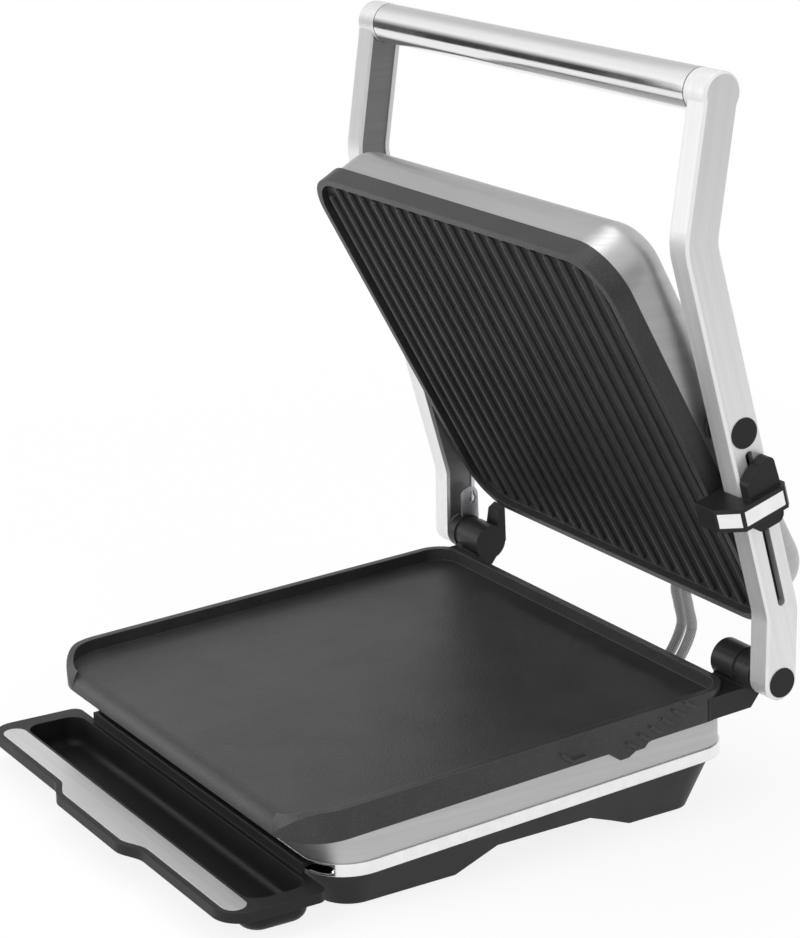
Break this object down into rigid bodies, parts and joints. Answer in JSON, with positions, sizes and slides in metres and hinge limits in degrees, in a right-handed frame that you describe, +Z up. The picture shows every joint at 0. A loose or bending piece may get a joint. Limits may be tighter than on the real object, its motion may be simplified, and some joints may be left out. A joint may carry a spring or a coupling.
{
  "type": "electric indoor grill with lid",
  "caption": "Countertop contact grill: sloped open cooking deck, ribbed lid that floats on cast arms with a tubular handle, sliding height clip and a pull-out drip tray.",
  "frame": {"origin": "on the table plane, under the middle of the cooking deck", "axes": "+X to the cook's right, -Y to the front where the tray pulls out, +Z up; lid open at rest"},
  "size_m": [0.354, 0.3974, 0.4348],
  "materials": {
    "nonstick_casting": "die-cast, black non-stick coating with a fine matt grain",
    "brushed_band": "brushed along its length",
    "polished_trim": "polished steel",
    "black_housing": "moulded, fine matt",
    "foot_rubber": "soft matt rubber",
    "heater_sheath": "heat-tinted tube",
    "zinc_steel": "plated steel",
    "reflector_sheet": "bright sheet",
    "thermostat_body": "moulded phenolic",
    "black_bracket": "cast, satin black paint",
    "black_polymer": "moulded, satin",
    "cast_arm": "cast and brushed along its length",
    "arm_liner": "satin",
    "braided_loom": "braided metal sleeve",
    "tray_strip": "brushed"
  },
  "bodies": {
    "base": {"base_plate": "nonstick_casting", "side_band": "brushed_band", "lower_trim": "polished_trim", "base_pan": "black_housing", "foot_pad_front_left": "foot_rubber", "foot_pad_front_right": "foot_rubber", "foot_pad_rear_left": "foot_rubber", "foot_pad_rear_right": "foot_rubber", "base_element": "heater_sheath", "base_element_clamps": "zinc_steel", "base_reflector": "reflector_sheet", "base_thermostat": "thermostat_body", "base_screws": "zinc_steel", "hinge_bracket_left": "black_bracket", "hinge_bracket_right": "black_bracket", "bracket_screws": "zinc_steel", "hinge_washer_left": "black_polymer", "hinge_washer_right": "black_polymer", "stop_plate": "zinc_steel", "lid_rest_post": "black_bracket", "loom_gland_base": "foot_rubber", "power_loom": "braided_loom"},
    "arms": {"arm_left": "cast_arm", "arm_right": "cast_arm", "upper_liner_left": "arm_liner", "upper_liner_right": "arm_liner", "lower_liner_left": "arm_liner", "lower_liner_right": "arm_liner", "handle_bar": "polished_trim", "hinge_pin_left": "zinc_steel", "hinge_pin_right": "zinc_steel", "pivot_pin_left": "zinc_steel", "pivot_pin_right": "zinc_steel", "pivot_spacer_left": "black_polymer", "pivot_spacer_right": "black_polymer", "hinge_cap_left": "black_polymer", "hinge_cap_right": "black_polymer", "pivot_cap_left": "black_polymer", "pivot_cap_right": "black_polymer"},
    "lid": {"lid_plate": "nonstick_casting", "lid_shell": "brushed_band", "lid_element": "heater_sheath", "lid_element_clamps": "zinc_steel", "lid_reflector": "reflector_sheet", "lid_thermal_cutout": "thermostat_body", "lid_pivot_boss_left": "black_bracket", "lid_pivot_boss_right": "black_bracket", "lid_boss_screws": "zinc_steel", "loom_gland_lid": "foot_rubber"},
    "clip": {"clip_body": "black_polymer", "clip_trim": "polished_trim", "clip_keeper": "zinc_steel"},
    "tray": {"drip_tray": "black_housing", "tray_trim": "tray_strip"}
  },
  "joints": [
    {"name": "arm_hinge", "type": "hinge", "parent": "base", "child": "arms", "pos_m": [0, 0.16077, 0.0837], "axis": [1, 0, 0], "range_deg": [0, 72.2], "deforming": ["power_loom"]},
    {"name": "lid_pivot", "type": "hinge", "parent": "arms", "child": "lid", "pos_m": [0, 0.1258, 0.23633], "axis": [1, 0, 0], "range_deg": [-9.3, 0]},
    {"name": "clip_slide", "type": "slide", "parent": "arms", "child": "clip", "axis": [0, 0.2957, -0.9553], "range_m": [-0.024, 0.062]},
    {"name": "tray_slide", "type": "slide", "parent": "base", "child": "tray", "axis": [0, -1, 0], "range_m": [0, 0.06]}
  ],
  "couplings": [
    {"joint": "lid_pivot", "follows": "arm_hinge", "ratio": -0.12821}
  ]
}
